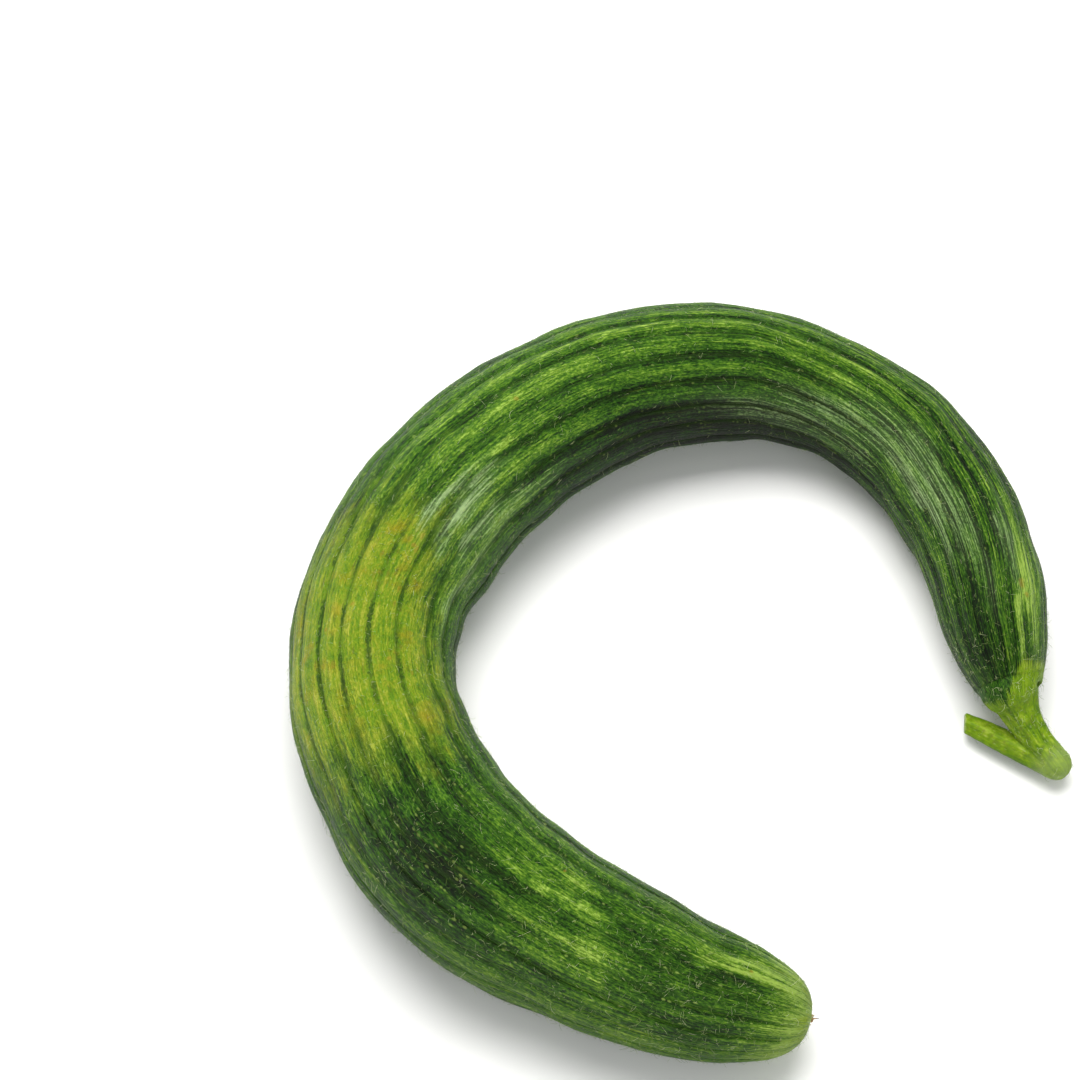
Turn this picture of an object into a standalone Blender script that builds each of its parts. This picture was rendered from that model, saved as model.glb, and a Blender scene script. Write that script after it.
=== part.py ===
# An Armenian cucumber as it was picked: a long ribbed fruit grown into a hook, lying on three
# flattened spots, with its cut stalk folded back under itself and the dried remains of the
# flower at its far tip. Metres, +Z up, origin on the surface under the middle of the object.

import math

import bmesh
import bpy
from mathutils import Vector

MM = 0.001

# The middle line of the fruit from the neck to the flower end. Each row is one station: x, y,
# height over the surface, and the radius over the ribs before the ends are rounded, in mm.
STATIONS = (
    (84.8, -3.0, 14.3, 15.6),
    (82.3, 11.5, 16.1, 15.7),
    (80.1, 29.0, 16.2, 15.5),
    (74.0, 47.5, 15.7, 16.0),
    (61.5, 68.3, 15.8, 16.2),
    (41.7, 81.4, 17.7, 16.2),
    (15.0, 86.9, 21.6, 18.3),
    (-23.2, 77.8, 23.1, 20.6),
    (-58.0, 50.6, 22.7, 22.3),
    (-76.4, 18.5, 20.9, 21.6),
    (-78.5, -10.7, 21.2, 21.5),
    (-65.4, -44.0, 23.5, 22.6),
    (-51.3, -59.8, 23.1, 22.7),
    (-31.4, -72.5, 20.1, 20.9),
    (-2.4, -85.7, 18.4, 20.0),
    (14.1, -89.8, 15.3, 19.7),
    (29.3, -91.8, 11.1, 20.4),
)
LINE_STEPS = 60  # straight steps between two stations when the line is measured

# The neck narrows towards the stalk, and the flower end is blunt and round
NECK_NARROWING = 0.44
NECK_REACH = 14.2 * MM
TIP_REACH = 80.0 * MM
TIP_FULLNESS = 2.4
TIP_BLUNTNESS = 0.36
TIP_LAST_ANGLE = math.radians(87.4)
TIP_RINGS = 15

# Cross-sections: close together on the neck, then evenly spaced up to the rounded tip
NECK_RINGS = (0.0, 2.5, 6.0, 10.5, 16.0, 22.0, 29.0, 36.5)
RING_GAP = 8.0 * MM

# Ribs run the whole length with narrow furrows between them, and turn slowly round the fruit.
# The furrows' angles are those on the broad left side; 0 is the outer side of the hook, 90 the top.
FURROWS_AT = 240.0 * MM
FURROWS = (18.5, 38.5, 56, 74, 95.5, 114, 137, 155, 176, 197, 217, 237, 257, 277, 297, 317, 337, 358)
RIBS = len(FURROWS)
SIDES_PER_RIB = 4
FURROW_DEPTH = 1.05 * MM
RIB_ROUNDNESS = 0.6
RIB_WANDER = math.radians(1.5)
RIB_WANDER_LENGTH = 170.0 * MM
RIB_TWIST = math.radians(-115.0)  # a metre
DEEP_RIBS_AT = 190.0 * MM
DEEP_RIBS_SPREAD = 95.0 * MM

# Slow swellings of the skin: height, length along the fruit, turns round it, phase
SWELLINGS = (
    (0.22 * MM, 47.0 * MM, 1, 0.4),
    (0.16 * MM, 29.0 * MM, 2, 2.1),
    (0.12 * MM, 18.0 * MM, 3, 4.0),
)
SWELLING_FADE = 26.0 * MM

# Single knots on the ribs: height, place along the fruit, its length, angle and half angle
KNOTS = (
    (0.9 * MM, 233.0 * MM, 9.0 * MM, math.radians(187), math.radians(24)),
    (0.6 * MM, 128.0 * MM, 9.0 * MM, math.radians(206), math.radians(26)),
    (0.5 * MM, 356.0 * MM, 12.0 * MM, math.radians(-28), math.radians(24)),
)

# Stalk: the swept middle line, with radii, in mm. It starts as a collar spread over the neck,
# thins to the knuckle, and the second length runs back from the knuckle to the cut.
COLLAR_GAP = 0.35 * MM
COLLAR_RADIUS = 8.3
COLLAR_BEND = 6.0 * MM
STALK_FRONT = (
    (86.4, -6.6, 12.7, 6.1),
    (87.9, -9.9, 11.1, 4.7),
    (89.8, -12.9, 9.7, 4.2),
    (92.3, -16.5, 8.2, 3.95),
    (95.9, -20.9, 6.6, 4.2),
)
KNUCKLE = (96.3, -21.4, 6.2)
KNUCKLE_RADIUS = 4.45
STALK_BACK = (
    (95.2, -21.0, 5.9, 4.0),
    (92.2, -19.4, 5.5, 3.6),
    (87.6, -16.9, 5.1, 3.3),
    (82.6, -14.1, 4.8, 3.05),
    (77.9, -11.4, 4.7, 2.8),
    (73.9, -9.5, 4.7, 2.5),
)
STALK_SIDES = 20
STALK_EDGES = 5
STALK_EDGE_HEIGHT = 0.22 * MM
STALK_STEPS = 3

# Dried flower remains: a shrivelled nub and one stiff dead style beside it
REMAINS_GAP = 0.35 * MM
NUB_PROFILE = ((0.0, 1.1), (0.4, 0.95), (0.8, 0.6), (1.2, 0.66), (1.5, 0.42), (1.7, 0.15))
NUB_SIDES = 10
NUB_PUCKER = 0.16
STYLE_ROOT = Vector((0.1, 0.3, 0.2)) * MM
STYLE_END = Vector((-0.4, 1.35, 1.9)) * MM
STYLE_RADII = (0.36 * MM, 0.15 * MM)
STYLE_SIDES = 6

MATERIALS = {
    "fruit_skin": ((0.075, 0.17, 0.03, 1.0), 0.45),
    "green_stalk": ((0.24, 0.36, 0.06, 1.0), 0.5),
    "dried_flower": ((0.42, 0.27, 0.12, 1.0), 0.85),
}


def clear_scene():
    for old in list(bpy.data.objects):
        bpy.data.objects.remove(old, do_unlink=True)


def smooth_step(low, high, value):
    share = min(1.0, max(0.0, (value - low) / (high - low)))
    return share * share * (3.0 - 2.0 * share)


def make_material(name):
    colour, roughness = MATERIALS[name]
    material = bpy.data.materials.new(name)
    material.use_nodes = True
    material.diffuse_color = colour
    shader = material.node_tree.nodes["Principled BSDF"]
    shader.inputs["Base Color"].default_value = colour
    shader.inputs["Roughness"].default_value = roughness
    shader.inputs["Metallic"].default_value = 0.0
    return material


def spline_point(rows, place):
    """The smooth curve through the rows of numbers, at row number `place`."""
    last = len(rows) - 1
    index = min(int(place), last - 1)
    share = place - index
    before = rows[max(index - 1, 0)]
    start, end = rows[index], rows[index + 1]
    after = rows[min(index + 2, last)]
    point = []
    for a, b, c, d in zip(before, start, end, after):
        leaving, arriving = (c - a) / 2.0, (d - b) / 2.0
        square, cube = share * share, share * share * share
        point.append(
            b * (2 * cube - 3 * square + 1)
            + leaving * (cube - 2 * square + share)
            + c * (3 * square - 2 * cube)
            + arriving * (cube - square)
        )
    return point


class MiddleLine:
    """The fruit's middle line, measured along its length in metres."""

    def __init__(self, stations):
        steps = (len(stations) - 1) * LINE_STEPS
        self.rows = [
            [value * MM for value in spline_point(stations, step / LINE_STEPS)]
            for step in range(steps + 1)
        ]
        self.lengths = [0.0]
        for one, two in zip(self.rows, self.rows[1:]):
            gap = (Vector(two[:3]) - Vector(one[:3])).length
            self.lengths.append(self.lengths[-1] + gap)
        self.total = self.lengths[-1]

    def at(self, along):
        """Centre, side, up, direction and plain radius at a distance from the neck."""
        along = min(max(along, 0.0), self.total)
        low, high = 0, len(self.lengths) - 1
        while high - low > 1:
            middle = (low + high) // 2
            if self.lengths[middle] <= along:
                low = middle
            else:
                high = middle
        share = (along - self.lengths[low]) / (self.lengths[high] - self.lengths[low])
        one, two = self.rows[low], self.rows[high]
        mixed = [a + (b - a) * share for a, b in zip(one, two)]
        ahead = self.rows[min(high + 2, len(self.rows) - 1)]
        behind = self.rows[max(low - 2, 0)]
        direction = (Vector(ahead[:3]) - Vector(behind[:3])).normalized()
        side = direction.cross(Vector((0.0, 0.0, 1.0))).normalized()
        up = side.cross(direction)
        return Vector(mixed[:3]), side, up, direction, mixed[3]


def end_rounding(along, total):
    """Share of the plain radius that the neck and the flower end leave at this place."""
    neck = 1.0 - NECK_NARROWING * math.exp(-along / NECK_REACH)
    into_tip = max(0.0, along - (total - TIP_REACH)) / TIP_REACH
    tip = max(0.0, 1.0 - into_tip**TIP_FULLNESS) ** TIP_BLUNTNESS
    return neck * tip


def furrow_angle(rib, along):
    """Where the furrow before this rib runs."""
    rib %= RIBS
    wander = RIB_WANDER * math.sin(2 * math.pi * along / RIB_WANDER_LENGTH + 1.7 * rib)
    return math.radians(FURROWS[rib]) + RIB_TWIST * (along - FURROWS_AT) + wander


def furrow_depth(rib, along, total):
    off = (along - DEEP_RIBS_AT) / DEEP_RIBS_SPREAD
    along_share = 0.58 + 0.42 * math.exp(-off * off)
    neck_share = 0.3 + 0.7 * smooth_step(0.0, 24.0 * MM, along)
    tip_share = 0.25 + 0.75 * smooth_step(0.0, 22.0 * MM, total - along)
    own_share = 0.8 + 0.2 * math.sin(4.1 * (rib % RIBS) + 0.5)
    return FURROW_DEPTH * along_share * neck_share * tip_share * own_share


def swelling(angle, along, total):
    fade = smooth_step(0.0, SWELLING_FADE, along) * smooth_step(0.0, SWELLING_FADE, total - along)
    height = 0.0
    for size, length, turns, phase in SWELLINGS:
        height += size * math.sin(2 * math.pi * along / length + turns * angle + phase)
    height *= fade
    for size, place, length, middle, spread in KNOTS:
        off = math.remainder(angle - middle, 2 * math.pi) / spread
        height += size * math.exp(-(((along - place) / length) ** 2) - off * off)
    return height


def ring_places(total):
    places = [place * MM for place in NECK_RINGS]
    tip_start = total - TIP_REACH
    gaps = round((tip_start - places[-1]) / RING_GAP)
    first = places[-1]
    places += [first + (tip_start - first) * step / gaps for step in range(1, gaps)]
    places += [
        tip_start + TIP_REACH * math.sin(TIP_LAST_ANGLE * step / (TIP_RINGS - 1))
        for step in range(TIP_RINGS)
    ]
    return places


def fruit_ring(line, along):
    """The points of one ribbed cross-section. What would sink into the surface lies flat on it."""
    centre, side, up, _, radius = line.at(along)
    radius *= end_rounding(along, line.total)
    points = []
    for rib in range(RIBS):
        start = furrow_angle(rib, along)
        end = start + (furrow_angle(rib + 1, along) - start) % (2 * math.pi)
        depth = furrow_depth(rib, along, line.total)
        for step in range(SIDES_PER_RIB):
            share = step / SIDES_PER_RIB
            angle = start + (end - start) * share
            arch = math.sin(math.pi * share) ** RIB_ROUNDNESS
            reach = radius - depth * (1.0 - arch) + swelling(angle, along, line.total)
            point = centre + side * (reach * math.cos(angle)) + up * (reach * math.sin(angle))
            point.z = max(point.z, 0.0)
            points.append(point)
    return points


def bridge_rings(mesh, rings):
    """Skins closed rings of vertices that follow each other, and caps both ends."""
    count = len(rings[0])
    for one, two in zip(rings, rings[1:]):
        for place in range(count):
            after = (place + 1) % count
            mesh.faces.new((one[place], two[place], two[after], one[after]))
    mesh.faces.new(rings[0])
    mesh.faces.new(list(reversed(rings[-1])))
    bmesh.ops.recalc_face_normals(mesh, faces=mesh.faces[:])


def object_from(name, mesh, material=None, sharp_degrees=50.0):
    data = bpy.data.meshes.new(name)
    mesh.to_mesh(data)
    mesh.free()
    data.shade_smooth()
    data.set_sharp_from_angle(angle=math.radians(sharp_degrees))
    made = bpy.data.objects.new(name, data)
    bpy.context.scene.collection.objects.link(made)
    if material:
        data.materials.append(make_material(material))
    return made


def build_fruit(line):
    mesh = bmesh.new()
    rings = [
        [mesh.verts.new(point) for point in fruit_ring(line, along)]
        for along in ring_places(line.total)
    ]
    bridge_rings(mesh, rings)
    return object_from("fruit", mesh, "fruit_skin")


def tube(rows, sides, edge_height=0.0, leaving=None):
    """A closed tube along rows of x, y, z and radius in mm, with low rounded edges on its skin.
    Its first rings face along `leaving` where that is given, and turn to the path from there."""
    mesh = bmesh.new()
    steps = (len(rows) - 1) * STALK_STEPS
    path = [spline_point(rows, step / STALK_STEPS) for step in range(steps + 1)]
    points = [Vector(row[:3]) * MM for row in path]
    rings = []
    for index, centre in enumerate(points):
        ahead = points[min(index + 1, len(points) - 1)]
        behind = points[max(index - 1, 0)]
        direction = (ahead - behind).normalized()
        if leaving:
            turned = smooth_step(0.0, COLLAR_BEND, (centre - points[0]).length)
            direction = leaving.lerp(direction, turned).normalized()
        side = direction.cross(Vector((0.0, 0.0, 1.0))).normalized()
        up = side.cross(direction)
        ring = []
        for place in range(sides):
            angle = 2 * math.pi * place / sides
            reach = path[index][3] * MM + edge_height * math.cos(STALK_EDGES * angle)
            offset = side * (reach * math.cos(angle)) + up * (reach * math.sin(angle))
            ring.append(mesh.verts.new(centre + offset))
        rings.append(ring)
    bridge_rings(mesh, rings)
    return mesh


def join_into(target, helper):
    """Fuses a helper shape into the target and takes the helper away."""
    join = target.modifiers.new("join_" + helper.name, "BOOLEAN")
    join.operation = "UNION"
    join.object = helper
    bpy.context.view_layer.objects.active = target
    bpy.ops.object.modifier_apply(modifier=join.name)
    bpy.data.objects.remove(helper, do_unlink=True)


def build_stalk(line):
    neck, _, _, direction, _ = line.at(0.0)
    collar = (neck - direction * COLLAR_GAP) / MM
    rows = ((*collar, COLLAR_RADIUS), *STALK_FRONT)
    front = tube(rows, STALK_SIDES, STALK_EDGE_HEIGHT, -direction)
    stalk = object_from("stalk", front, "green_stalk")
    back = tube(STALK_BACK, STALK_SIDES, STALK_EDGE_HEIGHT)
    join_into(stalk, object_from("stalk_back", back))
    ball = bmesh.new()
    bmesh.ops.create_uvsphere(ball, u_segments=STALK_SIDES, v_segments=12, radius=KNUCKLE_RADIUS * MM)
    bmesh.ops.translate(ball, verts=ball.verts, vec=Vector(KNUCKLE) * MM)
    join_into(stalk, object_from("knuckle", ball))
    stalk.data.shade_smooth()
    stalk.data.set_sharp_from_angle(angle=math.radians(50.0))
    return stalk


def build_flower_remains(line):
    """The nub and its dead style, standing straight out of the tip."""
    centre, side, up, direction, _ = line.at(line.total)
    face_at = TIP_REACH * (1.0 - math.sin(TIP_LAST_ANGLE))
    root = centre - direction * face_at + direction * REMAINS_GAP

    def placed(across, above, out):
        return root + side * across + up * above + direction * out

    nub = bmesh.new()
    rings = []
    for out, radius in NUB_PROFILE:
        ring = []
        for place in range(NUB_SIDES):
            angle = 2 * math.pi * place / NUB_SIDES
            reach = radius * MM * (1.0 + NUB_PUCKER * math.sin(3 * angle + 2.0 * out))
            ring.append(nub.verts.new(placed(reach * math.cos(angle), reach * math.sin(angle), out * MM)))
        rings.append(ring)
    bridge_rings(nub, rings)
    remains = object_from("flower_remains", nub, "dried_flower")

    style = bmesh.new()
    along = (STYLE_END - STYLE_ROOT).normalized()
    across = along.cross(Vector((1.0, 0.0, 0.0))).normalized()
    above = across.cross(along)
    rings = []
    for middle, radius in zip((STYLE_ROOT, STYLE_END), STYLE_RADII):
        ring = []
        for place in range(STYLE_SIDES):
            angle = 2 * math.pi * place / STYLE_SIDES
            at = middle + (across * math.cos(angle) + above * math.sin(angle)) * radius
            ring.append(style.verts.new(placed(at.x, at.y, at.z)))
        rings.append(ring)
    bridge_rings(style, rings)
    join_into(remains, object_from("dead_style", style))
    return remains


def main():
    clear_scene()
    line = MiddleLine(STATIONS)
    build_fruit(line)
    build_stalk(line)
    build_flower_remains(line)


main()
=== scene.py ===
import math

import bpy
import numpy as np
from mathutils import Matrix, Vector


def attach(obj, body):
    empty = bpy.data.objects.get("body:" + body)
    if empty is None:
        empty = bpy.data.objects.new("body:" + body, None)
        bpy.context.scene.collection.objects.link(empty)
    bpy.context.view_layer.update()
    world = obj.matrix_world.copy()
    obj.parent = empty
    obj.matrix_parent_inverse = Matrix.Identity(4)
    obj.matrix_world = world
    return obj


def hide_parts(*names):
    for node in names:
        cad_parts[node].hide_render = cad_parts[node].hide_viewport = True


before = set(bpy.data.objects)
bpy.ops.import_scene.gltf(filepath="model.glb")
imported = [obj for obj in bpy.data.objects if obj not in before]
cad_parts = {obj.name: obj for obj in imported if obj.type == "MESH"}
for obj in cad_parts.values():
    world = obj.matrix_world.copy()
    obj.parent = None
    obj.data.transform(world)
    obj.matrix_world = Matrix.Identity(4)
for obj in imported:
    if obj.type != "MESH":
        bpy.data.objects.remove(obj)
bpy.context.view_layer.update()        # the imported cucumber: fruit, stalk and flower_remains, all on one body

mm = 0.001


def objectMode():
    bpy.ops.object.mode_set(mode="OBJECT")


def startClean():
    if bpy.context.mode != "OBJECT":
        objectMode()
    bpy.ops.object.select_all(action="DESELECT")


def pickOnly(thing):
    startClean()
    bpy.context.view_layer.objects.active = thing
    thing.select_set(True)


def editMode(thing):
    pickOnly(thing)
    bpy.ops.object.mode_set(mode="EDIT")
    bpy.ops.mesh.select_all(action="SELECT")


def selectPoints(thing, wanted):
    objectMode()
    for items in (thing.data.polygons, thing.data.edges):
        items.foreach_set("select", np.zeros(len(items), bool))
    thing.data.vertices.foreach_set("select", wanted)
    bpy.ops.object.mode_set(mode="EDIT")
    bpy.ops.mesh.select_mode(type="VERT")


def applyPlace():
    bpy.ops.object.transform_apply(location=True, rotation=True, scale=True)


def joinTo(main, others):
    startClean()
    for part in (*others, main):
        part.select_set(True)
    bpy.context.view_layer.objects.active = main
    bpy.ops.object.join()


def readAll(items, field, width=1, kind=float):
    flat = np.empty(len(items) * width, dtype=kind)
    items.foreach_get(field, flat)
    return flat.reshape(-1, width) if width > 1 else flat


def pointsOf(thing):
    return readAll(thing.data.vertices, "co", 3)


def movePoints(thing, points):
    thing.data.vertices.foreach_set("co", np.ascontiguousarray(points, dtype=np.float32).ravel())
    thing.data.update()


def storeValues(thing, name, kind, values):
    made = thing.data.attributes.new(name, kind, "POINT")
    field = {"FLOAT": "value", "FLOAT_VECTOR": "vector", "FLOAT_COLOR": "color"}[kind]
    made.data.foreach_set(field, np.ascontiguousarray(values, dtype=np.float32).ravel())


def reshape(thing, kind, **settings):
    made = thing.modifiers.new(kind, kind)
    for name, value in settings.items():
        setattr(made, name, value)
    pickOnly(thing)
    bpy.ops.object.modifier_apply(modifier=kind)


def addLumps(thing, name, height, size):
    clouds = bpy.data.textures.new(name, "CLOUDS")
    clouds.noise_scale, clouds.noise_depth = size * mm, 2
    reshape(thing, "DISPLACE", texture=clouds, texture_coords="LOCAL", strength=height * mm, mid_level=0.5)


def dress(piece, node, material):
    piece.data.materials.clear()
    piece.data.materials.append(material)
    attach(piece, "root")
    if node:
        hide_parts(node)


def unit(rows):
    return rows / np.linalg.norm(rows, axis=-1, keepdims=True)


def easeStep(low, high, values):
    share = np.clip((values - low) / (high - low), 0, 1)
    return share * share * (3 - 2 * share)


def bell(values, middle, spread, power=2):
    return np.exp(-(((values - middle) / spread) ** power))


def wrapped(degrees):
    return np.mod(degrees + 180, 360) - 180


def paint(red, green, blue):
    linear = []
    for value in (red, green, blue):
        value /= 255
        linear.append(value / 12.92 if value <= 0.04045 else ((value + 0.055) / 1.055) ** 2.4)
    return (*linear, 1.0)


def feed(tree, socket, source):
    if isinstance(source, bpy.types.NodeSocket):
        tree.links.new(source, socket)
    elif source is not None:
        socket.default_value = source


def addNode(tree, kind, inputs=None, **settings):
    made = tree.nodes.new(kind)
    for name, value in settings.items():
        setattr(made, name, value)
    for name, source in (inputs or {}).items():
        feed(tree, made.inputs[name], source)
    return made


def calc(tree, operation, *sources, clamp=False):
    made = tree.nodes.new("ShaderNodeMath")
    made.operation, made.use_clamp = operation, clamp
    for socket, source in zip(made.inputs, sources):
        feed(tree, socket, source)
    return made.outputs[0]


def plus(tree, *sources, clamp=False):
    return calc(tree, "ADD", *sources, clamp=clamp)


def minus(tree, *sources):
    return calc(tree, "SUBTRACT", *sources)


def times(tree, *sources):
    return calc(tree, "MULTIPLY", *sources)


def total(tree, *terms):
    summed = None
    for value, share in terms:
        part = times(tree, value, share)
        summed = part if summed is None else plus(tree, summed, part)
    return summed


def between(tree, value, low, high):
    made = addNode(tree, "ShaderNodeMapRange", interpolation_type="SMOOTHSTEP")
    for socket, source in zip(made.inputs, (value, low, high, 0.0, 1.0)):
        feed(tree, socket, source)
    return made.outputs[0]


def mixed(tree, share, first, second):
    made = addNode(tree, "ShaderNodeMix", data_type="RGBA")
    for index, source in ((0, share), (6, first), (7, second)):
        feed(tree, made.inputs[index], source)
    return made.outputs[2]


def ramp(tree, value, stops):
    made = addNode(tree, "ShaderNodeValToRGB", {"Fac": value})
    band = made.color_ramp
    while len(band.elements) < len(stops):
        band.elements.new(0.5)
    for element, (place, colour) in zip(band.elements, stops):
        element.position, element.color = place, colour
    return made.outputs["Color"]


def noise(tree, vector, scale=1.0, detail=2.0, rough=0.5):
    inputs = {"Vector": vector, "Scale": scale, "Detail": detail, "Roughness": rough}
    return addNode(tree, "ShaderNodeTexNoise", inputs).outputs[0]


def newGroup(name, inputs, outputs):
    group = bpy.data.node_groups.new(name, "ShaderNodeTree")
    for label, value in inputs.items():
        kind = "NodeSocketVector" if value is None else "NodeSocketFloat"
        socket = group.interface.new_socket(name=label, in_out="INPUT", socket_type=kind)
        if value is not None:
            socket.default_value = value
    for label in outputs:
        group.interface.new_socket(name=label, in_out="OUTPUT", socket_type="NodeSocketFloat")
    return group, group.nodes.new("NodeGroupInput"), group.nodes.new("NodeGroupOutput")


def placeGroup(tree, group, vector, **values):
    made = tree.nodes.new("ShaderNodeGroup")
    made.node_tree = group
    feed(tree, made.inputs["Vector"], vector)
    for name, value in values.items():
        feed(tree, made.inputs[name], value)
    return made.outputs[0]


# Fibres: light and dark streaks that run lengthwise. Across and Along are their size in mm.
fibres, fibresIn, fibresOut = newGroup(
    "fibres", {"Vector": None, "Across": 1.0, "Along": 12.0, "Contrast": 1.0}, ["Value"]
)
across = calc(fibres, "DIVIDE", 1 / mm, fibresIn.outputs["Across"])
along = calc(fibres, "DIVIDE", 1 / mm, fibresIn.outputs["Along"])
stretch = addNode(fibres, "ShaderNodeCombineXYZ", {"X": across, "Y": across, "Z": along})
streakPlace = addNode(fibres, "ShaderNodeVectorMath", operation="MULTIPLY")
feed(fibres, streakPlace.inputs[0], fibresIn.outputs["Vector"])
feed(fibres, streakPlace.inputs[1], stretch.outputs[0])
streak = noise(fibres, streakPlace.outputs[0], 1.0, 3.0, 0.6)
streak = times(fibres, minus(fibres, streak, 0.5), fibresIn.outputs["Contrast"])
feed(fibres, fibresOut.inputs["Value"], plus(fibres, streak, 0.5, clamp=True))

# Specks: scattered small spots. Size is the gap between them in mm, Share how many there are.
specks, specksIn, specksOut = newGroup(
    "specks", {"Vector": None, "Size": 2.0, "Share": 0.3, "Stretch": 0.5}, ["Mask"]
)
closeness = calc(specks, "DIVIDE", 1 / mm, specksIn.outputs["Size"])
lengthwise = times(specks, closeness, specksIn.outputs["Stretch"])
speckStretch = addNode(specks, "ShaderNodeCombineXYZ", {"X": closeness, "Y": closeness, "Z": lengthwise})
speckPlace = addNode(specks, "ShaderNodeVectorMath", operation="MULTIPLY")
feed(specks, speckPlace.inputs[0], specksIn.outputs["Vector"])
feed(specks, speckPlace.inputs[1], speckStretch.outputs[0])
cells = addNode(specks, "ShaderNodeTexVoronoi", {"Vector": speckPlace.outputs[0], "Scale": 1.0})
speckTone = addNode(specks, "ShaderNodeSeparateColor", {"Color": cells.outputs["Color"]})
kept = calc(specks, "LESS_THAN", speckTone.outputs[0], specksIn.outputs["Share"])
spot = between(specks, cells.outputs["Distance"], 0.32, 0.14)
feed(specks, specksOut.inputs["Mask"], times(specks, spot, kept))

# Blotches: soft uneven patches. Size in mm, Low and High the noise values where they start and end.
blotches, blotchesIn, blotchesOut = newGroup(
    "blotches", {"Vector": None, "Size": 5.0, "Low": 0.4, "High": 0.6}, ["Mask"]
)
blotchScale = calc(blotches, "DIVIDE", 1 / mm, blotchesIn.outputs["Size"])
blotch = noise(blotches, blotchesIn.outputs["Vector"], blotchScale, 3.0, 0.6)
soft = between(blotches, blotch, blotchesIn.outputs["Low"], blotchesIn.outputs["High"])
feed(blotches, blotchesOut.inputs["Mask"], soft)

# One spot: Place is its middle, Size its radius in mm, and its edge is uneven.
spotAt, spotIn, spotOut = newGroup("spotAt", {"Vector": None, "Place": None, "Size": 1.0}, ["Mask"])
spotGap = addNode(spotAt, "ShaderNodeVectorMath", operation="DISTANCE")
feed(spotAt, spotGap.inputs[0], spotIn.outputs["Vector"])
feed(spotAt, spotGap.inputs[1], spotIn.outputs["Place"])
spotFar = calc(spotAt, "DIVIDE", calc(spotAt, "DIVIDE", spotGap.outputs["Value"], mm), spotIn.outputs["Size"])
spotFar = plus(spotAt, spotFar, noise(spotAt, spotIn.outputs["Vector"], 900.0, 2.0, 0.6))
feed(spotAt, spotOut.inputs["Mask"], between(spotAt, spotFar, 1.6, 0.9))


# across, along and contrast of the skin's streaks, which run on over the stalk's collar
skinStreaks = {
    "fine": (0.5, 9.0, 3.2), "coarse": (2.6, 34.0, 2.2),
    "grain": (0.4, 1.0, 5.0), "threads": (0.55, 22.0, 6.0),
}


def placeFibres(tree, vector, across, along, contrast):
    return placeGroup(tree, fibres, vector, Across=across, Along=along, Contrast=contrast)


def placeBlotches(tree, vector, size, low, high):
    return placeGroup(tree, blotches, vector, Size=size, Low=low, High=high)


def placeSpecks(tree, vector, size, share, stretch):
    return placeGroup(tree, specks, vector, Size=size, Share=share, Stretch=stretch)


def placeSkinStreaks(tree, vector):
    return (placeFibres(tree, vector, *sizes) for sizes in skinStreaks.values())


def newMaterial(name):
    material = bpy.data.materials.new(name)
    material.use_nodes = True
    return material, material.node_tree, material.node_tree.nodes["Principled BSDF"]


def readAttribute(tree, name):
    return addNode(tree, "ShaderNodeAttribute", attribute_name=name)


def readColour(tree, name):
    made = readAttribute(tree, name)
    parts = addNode(tree, "ShaderNodeSeparateColor", {"Color": made.outputs["Color"]}).outputs
    return parts[0], parts[1], parts[2], made.outputs["Alpha"]


def objectPlace(tree):
    return addNode(tree, "ShaderNodeTexCoord").outputs["Object"]


def finishShader(tree, shader, colour, roughness, specular, bump=None):
    feed(tree, shader.inputs["Base Color"], colour)
    feed(tree, shader.inputs["Roughness"], roughness)
    feed(tree, shader.inputs["Specular IOR Level"], specular)
    if bump:
        height, strength, distance = bump
        sizes = {"Height": height, "Strength": strength, "Distance": distance * mm}
        feed(tree, shader.inputs["Normal"], addNode(tree, "ShaderNodeBump", sizes).outputs[0])


cameraSetup = {
    "lookAt": (-36.3, 46.9, 0.0),  # mm, in the middle of the picture
    "elevation": 62.0,
    "distance": 810.0,
    "lens": 100.0,
    "sensor": 36.0,
}


def placeCamera():
    tilt = math.radians(cameraSetup["elevation"])
    reach = cameraSetup["distance"] * mm
    x, y, z = (value * mm for value in cameraSetup["lookAt"])
    bpy.ops.object.camera_add(
        location=(x, y - reach * math.cos(tilt), z + reach * math.sin(tilt)),
        rotation=(math.pi / 2 - tilt, 0, 0),
    )
    camera = bpy.context.object
    camera.name = "photoCamera"
    camera.data.lens = cameraSetup["lens"]
    camera.data.sensor_width = cameraSetup["sensor"]
    camera.data.clip_start, camera.data.clip_end = 0.01, 20
    bpy.context.scene.camera = camera


studio = {
    # name: place in m, point it faces, width, height, watts, colour
    "overheadSoftbox": ((-0.05, 0.30, 0.95), (0, 0, 0), 0.8, 0.6, 11.6, (1.0, 0.99, 0.97)),
    "frontFill": ((0.45, -0.75, 0.7), (0, 0, 0), 0.7, 0.5, 2.0, (0.97, 0.99, 1.0)),
    "backRim": ((-0.5, 0.7, 0.45), (0, 0, 0), 0.5, 0.3, 2.0, (1.0, 1.0, 1.0)),
}
surroundings = {
    "colour": (1.0, 1.0, 1.0),
    "strength": 0.54,
    "inReflections": 0.06,
    "behind": 0.94,  # what the camera sees past the floor
    "floorSize": 6.0,
}


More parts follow.
